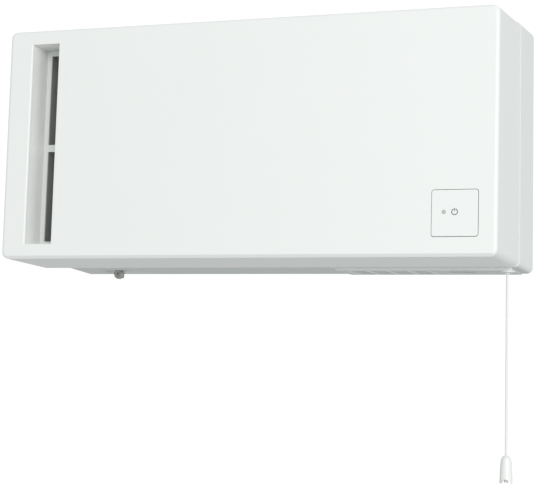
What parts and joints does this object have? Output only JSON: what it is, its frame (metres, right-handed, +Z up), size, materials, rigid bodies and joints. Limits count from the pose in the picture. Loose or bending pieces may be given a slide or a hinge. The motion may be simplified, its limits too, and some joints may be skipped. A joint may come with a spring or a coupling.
{
  "type": "wall ventilator with pull cord",
  "caption": "White wall-mounted room ventilator with a tall front air slot, a square power button, a hinged front cover and a pull cord hanging from its underside.",
  "frame": {"origin": "centre of the four wall-screw holes, on the wall plane", "axes": "+X to the right as seen from the room, +Y into the wall, +Z up"},
  "size_m": [0.522, 0.1679, 0.4579],
  "materials": {
    "white_shell": "satin",
    "button_parts": "satin",
    "status_lens": "translucent",
    "print_grey": "printed",
    "zinc_sheet": "galvanised",
    "bright_metal": "nickel plated",
    "steel": "ground",
    "motor_shell": "zinc",
    "copper": "enamelled wire",
    "grey_duct": "moulded",
    "white_duct": "moulded",
    "black_wheel": "moulded",
    "dark_foam": "closed-cell foam",
    "white_foam": "moulded foam",
    "core_paper": "treated paper",
    "strap_fabric": "woven",
    "filter_cloth": "non-woven",
    "filter_mesh": "mesh",
    "black_rubber": "matt",
    "control_plastic": "moulded",
    "board_green": "laminate",
    "black_part": "moulded",
    "core_iron": "laminated",
    "cream_plastic": "moulded",
    "cord_fibre": "braided",
    "knob_white": "moulded"
  },
  "bodies": {
    "housing": {"rear_casing": "white_shell", "wall_plate": "zinc_sheet", "lock_screw": "bright_metal", "duct_collar": "grey_duct", "pipe_seal": "dark_foam", "cable_grommet": "black_rubber", "hinge_pins": "bright_metal", "cover_catches": "button_parts", "intake_grille": "white_shell", "room_filter_frame": "white_duct", "room_filter_mesh": "filter_mesh", "outdoor_filter_frame": "white_duct", "outdoor_filter_pad": "filter_cloth", "core_housing": "white_foam", "exchanger_core": "core_paper", "core_end_caps": "white_duct", "core_strap": "strap_fabric", "supply_scroll": "grey_duct", "supply_inlet": "grey_duct", "exhaust_scroll": "grey_duct", "exhaust_inlet": "grey_duct", "fan_frame": "zinc_sheet", "outlet_duct": "dark_foam", "transfer_duct": "grey_duct", "exhaust_plenum": "grey_duct", "shutter_seat": "grey_duct", "motor_front_shell": "motor_shell", "motor_rear_shell": "motor_shell", "motor_bearings": "steel", "motor_stator": "steel", "motor_windings": "copper", "motor_mounts": "black_rubber", "motor_screws": "bright_metal", "control_box": "control_plastic", "control_lid": "control_plastic", "circuit_board": "board_green", "button_switch": "black_part", "transformer": "core_iron", "capacitor": "black_part", "terminal_block": "cream_plastic", "terminal_screws": "bright_metal", "pull_switch": "cream_plastic", "cord_bush": "white_duct", "pull_spring": "steel"},
    "cover": {"front_cover": "white_shell", "outlet_guide": "white_shell", "slot_liner": "white_shell", "button_carrier": "button_parts"},
    "button": {"power_button": "white_shell", "status_light": "status_lens", "button_mark": "print_grey"},
    "rotor": {"motor_shaft": "steel", "motor_rotor": "steel", "supply_impeller": "black_wheel", "exhaust_impeller": "black_wheel", "impeller_nuts": "bright_metal"},
    "shutter": {"shutter_disc": "white_duct"},
    "slider": {"shutter_slider": "white_duct"},
    "plunger": {"pull_plunger": "white_duct"},
    "cord": {"pull_cord": "cord_fibre", "pull_knob": "knob_white"}
  },
  "joints": [
    {"name": "cover_hinge", "type": "hinge", "parent": "housing", "child": "cover", "pos_m": [0, -0.076, 0.1162], "axis": [-1, 0, 0], "range_deg": [0, 75]},
    {"name": "button_press", "type": "slide", "parent": "cover", "child": "button", "axis": [0, 0.9997, -0.0254], "range_m": [0, 0.0012], "stiffness_N_per_m": 900, "springref_m": -0.0015},
    {"name": "rotor_spin", "type": "hinge", "parent": "housing", "child": "rotor", "pos_m": [-0.113, -0.072, 0.005], "axis": [0, 1, 0], "continuous": true},
    {"name": "shutter_turn", "type": "hinge", "parent": "housing", "child": "shutter", "pos_m": [0.18765, -0.035, 0.022], "axis": [0, -1, 0], "range_deg": [0, 90]},
    {"name": "shutter_slide", "type": "slide", "parent": "housing", "child": "slider", "axis": [1, 0, 0], "range_m": [0, 0.0165]},
    {"name": "cord_pull", "type": "slide", "parent": "housing", "child": "plunger", "axis": [0, 0, -1], "range_m": [0, 0.009], "stiffness_N_per_m": 400, "springref_m": -0.004, "deforming": ["pull_spring"]},
    {"name": "cord_swing", "type": "hinge", "parent": "plunger", "child": "cord", "pos_m": [0.24635, -0.059, -0.1263], "axis": [1, 0, 0], "range_deg": [-12, 12]}
  ],
  "couplings": [
    {"joint": "shutter_slide", "follows": "shutter_turn", "m_per_rad": 0.0105}
  ]
}
